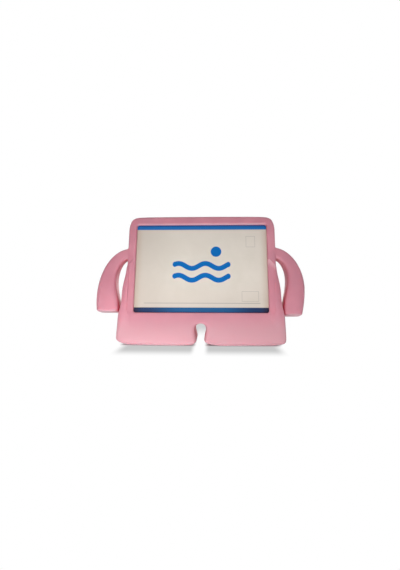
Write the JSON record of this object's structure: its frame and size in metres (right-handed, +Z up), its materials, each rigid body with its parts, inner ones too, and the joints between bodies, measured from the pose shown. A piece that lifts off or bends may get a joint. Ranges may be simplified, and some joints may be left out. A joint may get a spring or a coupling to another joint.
{
  "type": "tablet case",
  "caption": "Soft foam tablet case with a framed window, arm-like handles and leg-like feet that lean it back, with a printed display card in its pocket.",
  "frame": {"origin": "On the ground under the middle of the case, midway between its sides and midway between its front and back", "axes": "+Z up, -Y the way the screen faces, +X to the right of someone who looks at the screen"},
  "size_m": [0.3731, 0.0887, 0.2283],
  "materials": {
    "pink_foam": "matte, fine-skinned moulded foam",
    "printed_card": "satin printed card, beige with blue bands and marks"
  },
  "bodies": {
    "root": {"case_body": "pink_foam", "display_card": "printed_card"}
  },
  "joints": []
}
